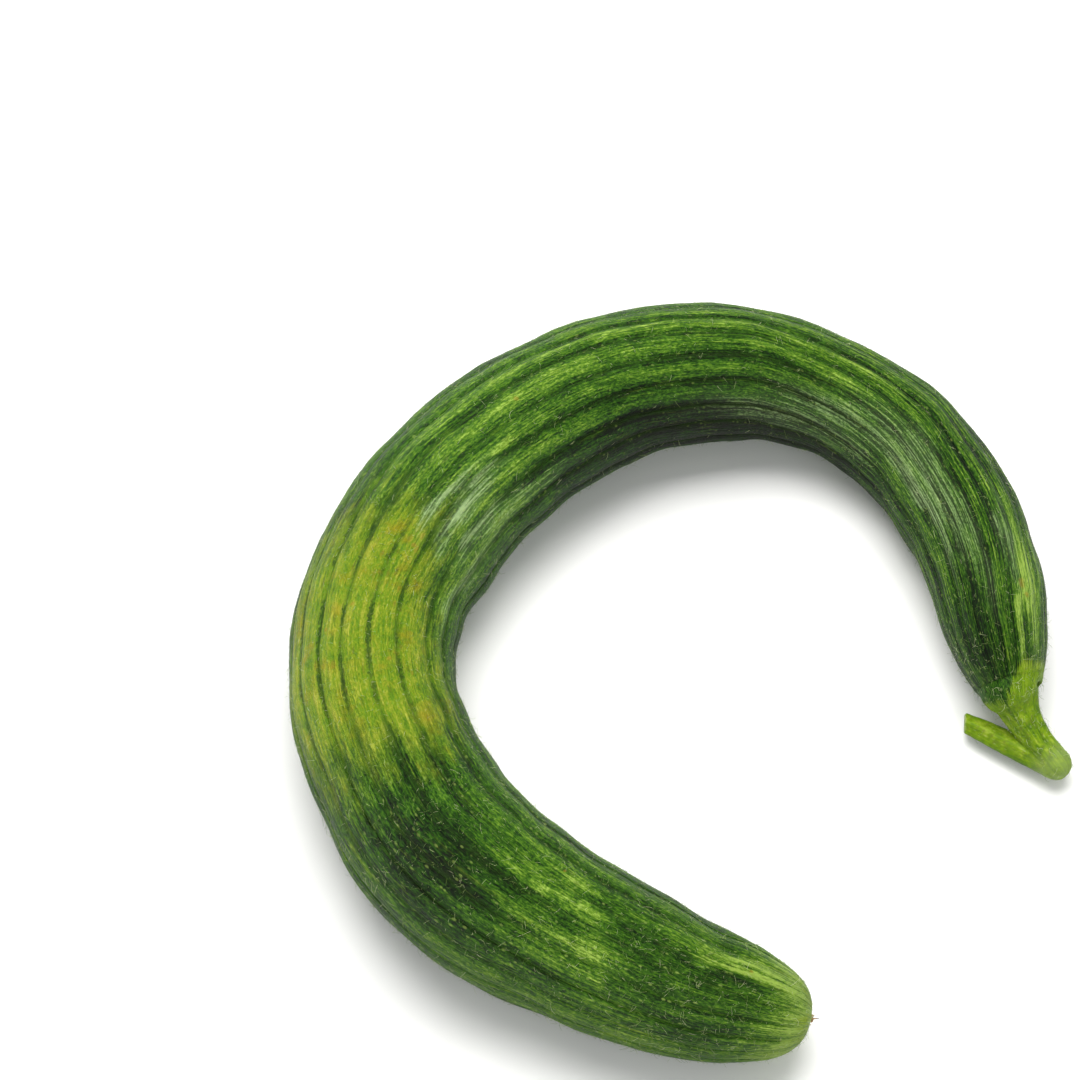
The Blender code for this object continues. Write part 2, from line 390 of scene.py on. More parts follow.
def placeLights():
    for name, (place, target, width, height, watts, colour) in studio.items():
        bpy.ops.object.light_add(type="AREA", location=place)
        lamp = bpy.context.object
        lamp.name = name
        away = Vector(place) - Vector(target)
        lamp.rotation_euler = away.to_track_quat("Z", "Y").to_euler()
        lamp.data.shape = "RECTANGLE"
        lamp.data.size, lamp.data.size_y = width, height
        lamp.data.energy = watts
        lamp.data.color = colour
    world = bpy.data.worlds.new("studioAir")
    bpy.context.scene.world = world
    world.use_nodes = True
    tree = world.node_tree
    sky = tree.nodes["Background"]
    sky.inputs["Color"].default_value = (*surroundings["colour"], 1)
    rays = addNode(tree, "ShaderNodeLightPath").outputs
    soft, mirrored, seen = (surroundings[name] for name in ("strength", "inReflections", "behind"))
    dimmed = plus(tree, soft, times(tree, rays["Is Glossy Ray"], mirrored - soft))
    strength = plus(tree, dimmed, times(tree, rays["Is Camera Ray"], seen - soft))
    feed(tree, sky.inputs["Strength"], strength)
    bpy.context.scene.view_settings.view_transform = "Standard"


startClean()
placeCamera()
placeLights()
print("camera and lights placed")


def layFloor():
    startClean()
    bpy.ops.mesh.primitive_plane_add(size=surroundings["floorSize"])
    floor = bpy.context.object
    floor.name = "paleFloor"
    material, tree, shader = newMaterial("palePaper")
    place = objectPlace(tree)
    grain = placeBlotches(tree, place, 40.0, 0.2, 0.8)
    finishShader(tree, shader, mixed(tree, grain, paint(246, 246, 245), paint(250, 250, 249)), 0.85, 0.1)
    floor.data.materials.append(material)


layFloor()
print("floor laid")


fruitShape = {
    # the middle line from the neck to the flower end: x, y, height and radius over the ribs, mm
    "stations": (
        (84.8, -3.0, 14.3, 15.6), (82.3, 11.5, 16.1, 15.7), (80.1, 29.0, 16.2, 15.5),
        (74.0, 47.5, 15.7, 16.0), (61.5, 68.3, 15.8, 16.2), (41.7, 81.4, 17.7, 16.2),
        (15.0, 86.9, 21.6, 18.3), (-23.2, 77.8, 23.1, 20.6), (-58.0, 50.6, 22.7, 22.3),
        (-76.4, 18.5, 20.9, 21.6), (-78.5, -10.7, 21.2, 21.5), (-65.4, -44.0, 23.5, 22.6),
        (-51.3, -59.8, 23.1, 22.7), (-31.4, -72.5, 20.1, 20.9), (-2.4, -85.7, 18.4, 20.0),
        (14.1, -89.8, 15.3, 19.7), (29.3, -91.8, 11.1, 20.4),
    ),
    "stepsBetween": 60,
    "neck": (0.44, 14.2),  # how much it narrows, over what length
    "tip": (80.0, 2.4, 0.36, 87.4),  # length, fullness, bluntness, last angle
    # the furrows' angles at 240 mm: 0 is the outer side of the hook and 90 the top
    "furrows": (18.5, 38.5, 56, 74, 95.5, 114, 137, 155, 176, 197, 217, 237, 257, 277, 297, 317, 337, 358),
    "furrowsAt": 240.0,
    "twist": -0.115,  # degrees a mm
    "wander": (1.5, 170.0),
    "furrowDepth": 1.05,
    "ribRoundness": 0.6,
    "deepRibs": (190.0, 95.0, 0.58, 0.42),  # where the furrows are deepest: place, reach, shares
    "neckRibs": (24, 0.3, 0.7),  # how they fade towards each end: reach, shares
    "tipRibs": (22, 0.25, 0.75),
    "swellings": ((0.22, 47, 1, 0.4), (0.16, 29, 2, 2.1), (0.12, 18, 3, 4.0)),
    "swellingFade": 26.0,
    "knots": ((0.9, 233, 9, 187, 24), (0.6, 128, 9, 206, 26), (0.5, 356, 12, -28, 24)),
    "creaseDepth": 0.16,  # the sharp line at the bottom of a furrow
    "creaseWidth": 0.07,  # as a share of half a rib
    "creasesFrom": (60, 120),
    "fineRidges": (0.07, 5.0),  # height, and how many on a rib
    "ridgesTo": 110,
    "pointsPerRib": 12,
    "rings": (60, 270, 100),  # on the neck, between, and on the rounded tip
    "neckRings": 40.0,
    # how each end is turned in: each ring's size next to the one before, and the step to it
    "neckEnd": ((0.95, 0.9, 0.8, 0.5), (0.25, 0.15, 0.0, 0.0)),
    "tipEnd": ((0.8, 0.75, 0.6), (0.06, 0.08, 0.0)),
    "lumps": (0.3, 6.0),  # height and size of the uneven surface
    "offFloor": 0.02,  # so that skin and floor are never in one plane
}
ribs = len(fruitShape["furrows"])


def measureLine(shape):
    rows = np.array(shape["stations"], dtype=float)
    place = np.arange((len(rows) - 1) * shape["stepsBetween"] + 1) / shape["stepsBetween"]
    index = np.minimum(place.astype(int), len(rows) - 2)
    t = (place - index)[:, None]
    before, start, end = rows[np.maximum(index - 1, 0)], rows[index], rows[index + 1]
    after = rows[np.minimum(index + 2, len(rows) - 1)]
    points = (
        start * (2 * t**3 - 3 * t**2 + 1) + (end - before) / 2 * (t**3 - 2 * t**2 + t)
        + end * (3 * t**2 - 2 * t**3) + (after - start) / 2 * (t**3 - t**2)
    )
    gaps = np.linalg.norm(np.diff(points[:, :3], axis=0), axis=1)
    return points, np.concatenate(([0.0], np.cumsum(gaps)))


linePoints, lineLengths = measureLine(fruitShape)
fruitLength = lineLengths[-1]


def lineAt(s):
    s = np.clip(np.asarray(s, dtype=float), 0, fruitLength)
    low = np.clip(np.searchsorted(lineLengths, s, side="right") - 1, 0, len(lineLengths) - 2)
    share = (s - lineLengths[low]) / (lineLengths[low + 1] - lineLengths[low])
    here = linePoints[low] + (linePoints[low + 1] - linePoints[low]) * share[..., None]
    ahead = linePoints[np.minimum(low + 3, len(linePoints) - 1)][..., :3]
    behind = linePoints[np.maximum(low - 2, 0)][..., :3]
    direction = unit(ahead - behind)
    side = unit(np.cross(direction, np.array((0.0, 0.0, 1.0))))
    return here[..., :3], side, np.cross(side, direction), direction, here[..., 3]


def furrowAngle(rib, s):
    shape = fruitShape
    size, length = shape["wander"]
    wander = size * np.sin(2 * np.pi * s / length + 1.7 * (rib % ribs))
    return np.array(shape["furrows"])[rib % ribs] + shape["twist"] * (s - shape["furrowsAt"]) + wander


def skinPoints(lane, s):
    shape = fruitShape
    centre, side, up, _, radius = lineAt(s)
    narrowing, reachOfNeck = shape["neck"]
    tipLength, fullness, bluntness, _ = shape["tip"]
    intoTip = np.maximum(0, s - (fruitLength - tipLength)) / tipLength
    radius = radius * (1 - narrowing * np.exp(-s / reachOfNeck))
    radius = radius * np.maximum(0, 1 - intoTip**fullness) ** bluntness

    rib = np.floor(lane + 1e-6).astype(int)
    share = np.clip(lane - rib, 0, 1)
    start = furrowAngle(rib, s)
    angle = np.radians(start + np.mod(furrowAngle(rib + 1, s) - start, 360) * share)
    middle, spread, least, more = shape["deepRibs"]
    depth = shape["furrowDepth"] * (least + more * bell(s, middle, spread))
    for (reach, least, more), fromEnd in ((shape["neckRibs"], s), (shape["tipRibs"], fruitLength - s)):
        depth = depth * (least + more * easeStep(0, reach, fromEnd))
    depth = depth * (0.8 + 0.2 * np.sin(4.1 * (rib % ribs) + 0.5))
    arch = np.sin(np.pi * share) ** shape["ribRoundness"]
    reach = radius - depth * (1 - arch)

    fade = easeStep(0, shape["swellingFade"], s) * easeStep(0, shape["swellingFade"], fruitLength - s)
    for size, length, turns, phase in shape["swellings"]:
        reach = reach + fade * size * np.sin(2 * np.pi * s / length + turns * angle + phase)
    for size, place, length, knotAngle, halfAngle in shape["knots"]:
        off = wrapped(np.degrees(angle) - knotAngle)
        reach = reach + size * np.exp(-(((s - place) / length) ** 2) - (off / halfAngle) ** 2)

    fromFurrow = np.minimum(share, 1 - share) * 2
    crease = shape["creaseDepth"] * bell(fromFurrow, 0, shape["creaseWidth"])
    ridge, ridgesPerRib = shape["fineRidges"]
    fine = ridge * np.sin(2 * np.pi * ridgesPerRib * share + 2.2 * np.sin(s / 17 + rib)) * fromFurrow
    crease = crease * easeStep(*shape["creasesFrom"], s)
    reach = reach + fade * (fine * (0.5 + 0.5 * bell(s, 0, shape["ridgesTo"])) - crease)

    points = centre + side * (reach * np.cos(angle))[..., None] + up * (reach * np.sin(angle))[..., None]
    points[..., 2] = np.maximum(points[..., 2], 0)
    return points, np.degrees(angle)


fuzzShape = {
    "seed": 41,
    # for each kind: cuts along one hair, how many hairs, thickness, shortest and longest, the
    # angles that they rise at, and how far they turn
    "short": {"cuts": 2, "hairs": 10500, "thick": 0.033, "length": (0.6, 2.8), "lift": (6, 45), "curl": 24},
    "curls": {"cuts": 8, "hairs": 1500, "thick": 0.034, "length": (1.2, 4.6), "lift": (10, 45), "curl": 100},
    "onStalk": {"cuts": 8, "hairs": 620, "thick": 0.036, "length": (0.8, 3.6), "lift": (10, 50), "curl": 110},
    "everywhere": 0.35,  # how many hairs grow outside the fuzzy places
    "lowestRoot": 0.8,
    "rootDepth": 0.05,
    "offFloor": 0.02,
    "manyShort": 2.2,  # the higher, the more of the hairs are short
    "droop": (10, 60),
    "thickRange": (0.7, 1.25),
}

# What shows on the skin. Each mark: place along the fruit in mm, angle, half length in mm,
# half angle, amount. A mark leans with the ribs. The tone goes from 0, nearly black green,
# to 1, pale yellow-green.
skinMarks = {
    "toneBase": 0.44,
    # Among the tone marks, the dark ones on the arc's inner side, the largest at 135 mm and 180°, are partly
    # the skin's darker green and partly painted shade where that side faces away from the light; the dark one
    # at 333 mm and 58° is partly the skin's dark furrowed green and partly a painted cast shadow.
    "tone": (
        (165, 75, 80, 48, 0.07), (215, 75, 30, 50, 0.03), (200, 105, 24, 24, 0.10), (112, 72, 22, 30, 0.06),
        (135, 180, 62, 40, -0.38), (102, 122, 16, 18, -0.1), (150, 150, 50, 14, -0.09),
        (228, 180, 42, 22, -0.06), (113, 86, 20, 14, 0.05), (60, 165, 45, 30, -0.03), (8, 122, 12, 52, -0.10),
        (217, 146, 32, 24, 0.14), (250, 150, 26, 18, 0.12), (18, 62, 9, 17, 0.22), (2, 128, 8, 22, -0.14),
        (352, 56, 13, 16, 0.16), (378, 6, 40, 24, 0.19), (362, 106, 10, 10, 0.10), (21, 52, 14, 13, 0.38),
        (8, 66, 7, 9, -0.12), (12, 73, 12, 5, 0.34), (33, 63, 13, 6, 0.20), (6, 38, 8, 18, 0.22),
        (42, 84, 18, 4, 0.14), (333, 58, 16, 30, -0.25), (348, 126, 22, 20, 0.06), (354, 98, 20, 14, 0.14),
        (357, 95, 18, 5, 0.15), (348, 105, 17, 4, 0.24), (369, 70, 7, 22, 0.22), (377, 46, 8, 15, 0.16),
        (395, 60, 18, 24, -0.04), (392, 88, 24, 4, -0.22), (409, 105, 13, 11, 0.6), (393, 100, 10, 6, 0.16),
        (410, 91, 11, 4, -0.3), (413, 74, 6, 9, -0.2), (424, 90, 13, 900, 0.5), (398, 128, 20, 14, 0.08),
    ),
    "yellow": (
        (266, 84, 33, 46, 0.95), (244, 95, 16, 22, 0.5), (285, 112, 24, 38, 0.55), (276, 36, 30, 26, 0.75),
    ),
    # painted sheen: pale grey highlight streaks along the crests, partly the skin's grey waxy bloom
    "waxAndPaintedSheen": (
        (225, 108, 13, 4.4, 0.8), (223, 124, 14, 5.2, 0.9), (226, 139, 14, 4.6, 0.65),
        (210, 118, 10, 3.4, 0.45), (62, 112, 30, 16, 0.5), (33, 70, 10, 9, 0.5),
        (50, 133, 22, 7, 0.5), (104, 150, 34, 20, 0.32), (84, 128, 26, 10, 0.34),
        (244, 152, 16, 6, 0.4), (30, 100, 16, 8, 0.3), (250, 28, 60, 10, 0.06),
        (232, 154, 24, 9, 0.24), (203, 150, 22, 6, 0.28), (344, 30, 26, 12, 0.04),
        (132, 168, 56, 28, 0.05),
    ),
    # where painted light on the crests and painted shade in the furrows are strongest: place, half length,
    # amount, and its angle
    "paintedRibShading": ((160, 75, 0.7), (345, 30, 0.65), (42, 34, 0.35)),
    "paintedRibShadingTop": (125, 76),
    "furrowLine": (262, 40),  # where dark lines show in the furrows
    "armStreaks": (85, 115),  # the arm beside the neck is more streaked, up to here
    "collar": ((427, 90, 6, 900, 0.8),),
    # where the dark skin gives way to the stalk's light green: the angle, its half width, how far
    # along the fruit in mm
    "collarEdge": ((45, 42, 3.2), (142, 46, -5.6)),
    # orange-brown spots: place, angle, size in mm
    "spots": (
        (277, 109, 0.9), (279, 103, 0.7), (277, 90, 0.8), (241, 106, 0.9), (191, 91, 0.8), (355, 110, 0.6),
        (406, 102, 0.8), (22, 64, 1.7), (19, 60, 1.0), (262, 78, 0.7), (252, 92, 0.8), (268, 60, 0.7),
        (285, 70, 0.8),
    ),
    "fuzzy": (
        (0, 90, 14, 900, 0.35), (350, 90, 28, 900, 0.15), (392, 60, 26, 60, 0.4), (410, 90, 26, 900, 0.2),
        (245, 100, 16, 14, 0.3), (140, 160, 66, 40, -0.28),
    ),
}


def paintMarks(marks, s, angle, start=0.0, edge=1.4):
    around = np.radians(angle)
    # the marks' edges wander
    s = s + 1.5 * np.sin(s / 5.1 + 6 * around + 1.1) + 1.2 * np.sin(s / 2.9 - 10 * around)
    s = s + 0.9 * np.sin(17 * around)
    angle = angle + 2.2 * np.sin(s / 9 + 4 * around) + 1.5 * np.sin(s / 3.7 + 2)
    angle = angle + 1.1 * np.sin(s / 1.9 + 8 * around)
    left = np.full(s.shape, float(start))
    for place, markAngle, halfLength, halfAngle, amount in marks:
        off = wrapped(angle - markAngle - fruitShape["twist"] * (s - place))
        far = ((s - place) / halfLength) ** 2 + (off / halfAngle) ** 2
        left = left + amount * np.exp(-(far**edge))
    return np.clip(left, 0, 1)


def lightCollar(s, angle):
    around = np.radians(angle)
    edge = 0.5 * np.sin(5 * around + 0.6) + 0.4 * np.sin(11 * around) + 0.3 * np.sin(23 * around + 1)
    for markAngle, halfAngle, reach in skinMarks["collarEdge"]:
        edge = edge + reach * bell(wrapped(angle - markAngle), 0, halfAngle, 4)
    edge = edge + 0.5 * np.sin(31 * around) * np.sin(s / 1.7)
    return easeStep(-2.2, 2.2, edge - s)


def unbentPlace(s, angle):
    untwisted = np.radians(angle - fruitShape["twist"] * (s - fruitShape["furrowsAt"]))
    return np.stack((20 * np.cos(untwisted), 20 * np.sin(untwisted), s), axis=-1) * mm


def ringPlaces():
    neck, middle, tip = fruitShape["rings"]
    tipLength, _, _, lastAngle = fruitShape["tip"]
    tipStart = fruitLength - tipLength
    angles = np.radians(lastAngle) * np.arange(tip + 1) / tip
    return np.concatenate((
        np.linspace(0, fruitShape["neckRings"], neck, endpoint=False),
        np.linspace(fruitShape["neckRings"], tipStart, middle, endpoint=False),
        tipStart + tipLength * np.sin(angles),
    ))


def lengthsOf(thing):
    return readAll(thing.data.attributes["unbent"].data, "vector", 3)[:, 2]


def closeEnd(thing, ring, inward, sizes, steps):
    selectPoints(thing, ring)
    centre = Vector(pointsOf(thing)[ring].mean(axis=0))
    for size, step in zip(sizes, steps):
        bpy.ops.mesh.extrude_region_move(TRANSFORM_OT_translate={"value": tuple(Vector(inward) * step * mm)})
        bpy.ops.transform.resize(value=(size, size, size), center_override=tuple(centre))
    bpy.ops.mesh.merge(type="CENTER")


def makeFruit():
    columns = ribs * fruitShape["pointsPerRib"]
    places = ringPlaces()
    startClean()
    bpy.ops.mesh.primitive_grid_add(
        x_subdivisions=columns, y_subdivisions=len(places) - 1, size=1, calc_uvs=True
    )
    skin = bpy.context.object
    skin.name = "ribbedSkin"
    flat = pointsOf(skin)
    column = np.round((flat[:, 0] + 0.5) * columns)
    row = np.round((flat[:, 1] + 0.5) * (len(places) - 1)).astype(int)
    s = places[row]
    points, angle = skinPoints(np.mod(column, columns) / fruitShape["pointsPerRib"], s)
    movePoints(skin, points * mm)

    storeValues(skin, "unbent", "FLOAT_VECTOR", unbentPlace(s, angle))
    tone = paintMarks(skinMarks["tone"], s, angle, skinMarks["toneBase"])
    yellow = paintMarks(skinMarks["yellow"], s, angle, edge=0.95)
    # where the painted sheen and the waxy bloom lie
    waxAndPaintedSheen = paintMarks(skinMarks["waxAndPaintedSheen"], s, angle)
    collar = np.maximum(paintMarks(skinMarks["collar"], s, angle), lightCollar(s, angle))
    fuzzy = paintMarks(skinMarks["fuzzy"], s, angle, fuzzShape["everywhere"])
    # how strong the painted light on the crests and painted shade in the furrows is, most on the side that
    # faces up
    paintedRibShading = 0.3
    for lightAt, reach, amount in skinMarks["paintedRibShading"]:
        paintedRibShading = paintedRibShading + amount * bell(s, lightAt, reach)
    topAngle, halfAngle = skinMarks["paintedRibShadingTop"]
    paintedRibShading = paintedRibShading * (0.35 + 0.65 * bell(wrapped(angle - topAngle), 0, halfAngle, 4))
    darkest, darkReach = skinMarks["furrowLine"]
    furrowLine = 0.25 * easeStep(*fruitShape["creasesFrom"], s) + 0.75 * bell(s, darkest, darkReach, 4)
    storeValues(skin, "skinTones", "FLOAT_COLOR", np.stack((tone, yellow, waxAndPaintedSheen, collar), axis=1))
    lines = np.stack((paintedRibShading, furrowLine, fuzzy, np.ones_like(s)), axis=1)
    storeValues(skin, "skinLines", "FLOAT_COLOR", lines)

    # the long seam is joined, then both ends are turned in and closed
    editMode(skin)
    bpy.ops.mesh.remove_doubles(threshold=0.001 * mm)
    objectMode()
    gridFaces = len(skin.data.polygons)
    neckWay, tipWay = lineAt(0.0)[3], lineAt(fruitLength)[3]
    closeEnd(skin, lengthsOf(skin) < 0.01 * mm, -neckWay, *fruitShape["neckEnd"])
    objectMode()
    closeEnd(skin, lengthsOf(skin) > lengthsOf(skin).max() - 0.0001 * mm, -tipWay, *fruitShape["tipEnd"])
    bpy.ops.mesh.select_all(action="SELECT")
    bpy.ops.mesh.normals_make_consistent(inside=False)
    objectMode()

    addLumps(skin, "skinLumps", *fruitShape["lumps"])
    lifted = pointsOf(skin)
    lifted[:, 2] = np.maximum(lifted[:, 2], fruitShape["offFloor"] * mm)
    movePoints(skin, lifted)
    bpy.ops.object.shade_smooth()
    return skin, gridFaces


stalkColours = {
    "scale": (
        (0.15, paint(54, 86, 10)), (0.4, paint(88, 122, 10)),
        (0.65, paint(118, 148, 16)), (0.9, paint(158, 176, 60)),
    ),
    "knuckle": paint(156, 174, 104),
    "knuckleShade": paint(140, 160, 84),
    "fleck": paint(188, 200, 134),
    "bruise": paint(96, 104, 36),
    "cut": paint(150, 164, 96),
    "core": paint(96, 128, 50),
}

skinColours = {
    "scale": (
        (0.0, paint(8, 14, 6)), (0.2, paint(18, 41, 8)), (0.42, paint(39, 78, 12)),
        (0.6, paint(68, 112, 22)), (0.8, paint(106, 144, 38)), (1.0, paint(156, 188, 78)),
    ),
    "yellowScale": (
        (0.15, paint(76, 116, 18)), (0.4, paint(104, 140, 22)),
        (0.62, paint(132, 152, 30)), (0.9, paint(168, 172, 62)),
    ),
    # the painted sheen's pale grey-green, partly the waxy bloom
    "waxAndPaintedSheen": paint(156, 182, 124),
    "furrow": paint(34, 68, 18),
    "furrowSide": paint(76, 120, 18),
    "paleFleck": paint(156, 182, 88),
    "darkFleck": paint(18, 32, 14),
    "stain": paint(158, 122, 40),
    "warm": paint(158, 138, 26),
}


def makeSkinMaterial():
    material, tree, shader = newMaterial("ribbedGreenSkin")
    unbent = readAttribute(tree, "unbent").outputs["Vector"]
    place = objectPlace(tree)
    tone, yellow, waxAndPaintedSheen, collar = readColour(tree, "skinTones")
    paintedRibShading, furrowLine, fuzzy, _ = readColour(tree, "skinLines")

    # how far a point is across its rib, from 0 on the crest to 1 in the furrow, and which rib it is
    around = addNode(tree, "ShaderNodeUVMap", uv_map="UVMap").outputs[0]
    around = addNode(tree, "ShaderNodeSeparateXYZ", {"Vector": around}).outputs[0]
    lane = times(tree, around, float(ribs))
    fromCrest = calc(tree, "ABSOLUTE", minus(tree, calc(tree, "FRACT", lane), 0.5))
    fromCrest = times(tree, fromCrest, 2.0)
    ribNumber = calc(tree, "FLOOR", lane)
    lengthwise = addNode(tree, "ShaderNodeSeparateXYZ", {"Vector": unbent}).outputs[2]
    ribPlace = addNode(
        tree, "ShaderNodeCombineXYZ",
        {"X": times(tree, ribNumber, 7.31), "Y": times(tree, lengthwise, 14.0)},
    ).outputs[0]
    ribLight = noise(tree, ribPlace, 1.0, 1.0, 0.5)

    fine, coarse, grain, threads = placeSkinStreaks(tree, unbent)
    patches = placeFibres(tree, unbent, 1.0, 3.0, 3.5)
    clouds = placeBlotches(tree, place, 7.0, 0.35, 0.65)

    # tone: the painted tone broken up by streaks, then streaks, grain, and painted light on the crests with
    # painted shade in the furrows
    painted = minus(tree, tone, skinMarks["toneBase"])
    painted = times(tree, painted, plus(tree, 0.45, total(tree, (coarse, 0.6), (fine, 0.5))))
    streaks = total(
        tree, (fine, 0.18), (threads, 0.16), (coarse, 0.16), (grain, 0.27), (patches, 0.15), (clouds, 0.10),
        (ribLight, 0.24)
    )
    streaks = plus(tree, streaks, skinMarks["toneBase"] - 0.62)
    armEnd, pastArm = (value * mm for value in skinMarks["armStreaks"])
    nearArm = minus(tree, 1.0, between(tree, lengthwise, armEnd, pastArm))
    armStreaks = minus(tree, total(tree, (threads, 0.22), (coarse, 0.18)), 0.2)
    streaks = total(tree, (streaks, 1.0), (times(tree, nearArm, armStreaks), 1.0))
    # painted shade in the furrows, painted light on the crests
    ribShade = between(tree, fromCrest, 0.2, 1.0)
    ribShade = times(tree, minus(tree, 0.35, ribShade), times(tree, paintedRibShading, 0.36))
    fullTone = plus(tree, plus(tree, painted, streaks), ribShade, clamp=True)
    colour = ramp(tree, fullTone, skinColours["scale"])

    # the yellow resting patch, mottled and with uneven edges
    mottle = placeFibres(tree, unbent, 1.7, 6.5, 3.0)
    yellowTone = total(
        tree, (mottle, 0.22), (threads, 0.18), (fine, 0.12), (grain, 0.24), (patches, 0.16), (clouds, 0.16)
    )
    yellowColour = ramp(tree, yellowTone, skinColours["yellowScale"])
    warm = placeBlotches(tree, unbent, 8.0, 0.5, 0.72)
    yellowColour = mixed(tree, times(tree, warm, 0.6), yellowColour, skinColours["warm"])
    uneven = total(tree, (coarse, 0.35), (mottle, 0.3), (fine, 0.2), (yellow, 1.2))
    yellowMask = between(tree, uneven, 0.55, 1.5)
    colour = mixed(tree, yellowMask, colour, yellowColour)
    stains = placeSpecks(tree, unbent, 2.2, 0.2, 0.45)
    stainShare = times(tree, times(tree, stains, yellowMask), 0.35)
    for spotAlong, spotAngle, size in skinMarks["spots"]:
        spotPlace = tuple(unbentPlace(np.array(float(spotAlong)), np.array(float(spotAngle))))
        spot = placeGroup(tree, spotAt, unbent, Place=spotPlace, Size=size)
        stainShare = calc(tree, "MAXIMUM", stainShare, times(tree, spot, 0.45))
    colour = mixed(tree, stainShare, colour, skinColours["stain"])

    # uneven green beside the furrows, and a thin dark line in them that comes and goes
    broken = placeBlotches(tree, unbent, 9.0, 0.36, 0.58)
    side = between(tree, total(tree, (fromCrest, 1.0), (mottle, 0.3)), 0.75, 1.25)
    sideShare = times(tree, times(tree, side, furrowLine), 0.6)
    colour = mixed(tree, sideShare, colour, skinColours["furrowSide"])
    lineWidth = total(tree, (grain, 0.16), (broken, 0.12))
    line = between(tree, plus(tree, fromCrest, lineWidth), 0.97, 1.1)
    lineShare = times(tree, line, furrowLine)
    lineShare = times(tree, lineShare, total(tree, (broken, 0.6), (grain, 0.3)))
    colour = mixed(tree, lineShare, colour, skinColours["furrow"])

    # painted sheen: pale grey highlight streaks on the crests, partly the grey waxy bloom of the skin
    waxAndPaintedSheenBreak = total(tree, (threads, 0.8), (fine, 0.3), (grain, 0.35), (waxAndPaintedSheen, 1.0))
    waxAndPaintedSheenMask = times(tree, between(tree, waxAndPaintedSheenBreak, 0.95, 2.1), between(tree, waxAndPaintedSheen, 0.02, 0.3))
    waxAndPaintedSheenMask = total(tree, (waxAndPaintedSheenMask, 0.78), (waxAndPaintedSheen, 0.22))
    colour = mixed(tree, waxAndPaintedSheenMask, colour, skinColours["waxAndPaintedSheen"])

    # pale hair roots and dark flecks
    pale = placeSpecks(tree, unbent, 1.15, 0.28, 0.6)
    paleShare = times(tree, pale, plus(tree, 0.14, times(tree, fuzzy, 0.5)))
    colour = mixed(tree, paleShare, colour, skinColours["paleFleck"])
    dark = placeSpecks(tree, unbent, 1.7, 0.35, 0.3)
    colour = mixed(tree, times(tree, dark, 0.3), colour, skinColours["darkFleck"])

    # the light green of the neck and of the flower end, running out along the streaks
    collarMask = between(tree, total(tree, (fine, 0.7), (collar, 1.0)), 0.6, 1.1)
    collarTone = total(tree, (fine, 0.3), (coarse, 0.25), (grain, 0.25), (threads, 0.1))
    collarTone = plus(tree, collarTone, 0.18)
    colour = mixed(tree, collarMask, colour, ramp(tree, collarTone, stalkColours["scale"]))

    dull = total(tree, (fine, 0.12), (grain, 0.10), (waxAndPaintedSheen, -0.08), (clouds, 0.06))
    height = total(tree, (fine, 0.4), (threads, 0.3), (grain, 0.45), (pale, 0.35), (coarse, 0.3))
    height = times(tree, height, minus(tree, 1.0, times(tree, collarMask, 0.6)))
    finishShader(tree, shader, colour, plus(tree, dull, 0.33), 0.16, (height, 0.9, 0.6))
    return material


skin, skinGridFaces = makeFruit()
dress(skin, "fruit", makeSkinMaterial())
print("fruit made", len(skin.data.polygons), "faces")


stalkShape = {
    # x, y, height, radius in mm
    "front": (
        (86.4, -6.6, 12.7, 6.2), (87.9, -9.9, 11.1, 4.9), (89.8, -12.9, 9.7, 4.2),
        (92.3, -16.5, 8.2, 3.95), (95.9, -20.9, 6.6, 4.2),
    ),
    # the collar: distance along the fruit's line from the neck, and radius
    "collar": ((1.5, 9.15), (0.0, 8.95), (-1.7, 7.7)),
    "collarHandle": 1.0,
    "fold": (-5.2, 3.2, 14.0),  # place and reach along the same line, and the most from the neck
    "smoothing": (4, 80),  # rounds all over, and in the fold
    "knuckle": (96.3, -21.4, 6.2, 4.35),
    "knuckleTint": 5.2,  # how far its paler colour reaches
    "back": (
        (95.2, -21.0, 5.9, 4.0), (92.2, -19.4, 5.5, 3.6), (87.6, -16.9, 5.1, 3.3),
        (82.6, -14.1, 4.8, 3.05), (77.9, -11.4, 4.7, 2.8), (73.9, -9.5, 4.7, 2.5), (72.3, -8.8, 4.7, 2.4),
    ),
    "cut": ((73.9, -9.5, 4.7), (-0.99, 0.1, -0.05)),  # a point on the cut face, and its way
    "cutReach": 3.6,
    "skinReach": (-8, -9, -4),  # how far the fruit's dark skin and its streaks run down the collar
    "voxel": 0.28,
    "offFloor": 0.05,
    "edges": 5,
    "edgeHeight": 0.26,
    "lumps": (0.22, 2.2),
}


def sweepTube(name, rows, firstWay=None):
    startClean()
    bpy.ops.curve.primitive_bezier_curve_add()
    tube = bpy.context.object
    tube.name = name
    tube.location = (0, 0, 0)
    tube.data.dimensions = "3D"
    tube.data.bevel_depth = 1.0 * mm
    tube.data.bevel_resolution = 7
    tube.data.resolution_u = 8
    tube.data.use_fill_caps = True
    spline = tube.data.splines[0]
    spline.bezier_points.add(len(rows) - 2)
    for point, (x, y, z, radius) in zip(spline.bezier_points, rows):
        point.co = Vector((x, y, z)) * mm
        point.radius = radius
        point.handle_left_type = point.handle_right_type = "AUTO"
    if firstWay is not None:
        first = spline.bezier_points[0]
        first.handle_left_type = first.handle_right_type = "FREE"
        reach = Vector(firstWay) * stalkShape["collarHandle"] * mm
        first.handle_left, first.handle_right = first.co - reach, first.co + reach
    bpy.ops.object.convert(target="MESH")
    return bpy.context.object


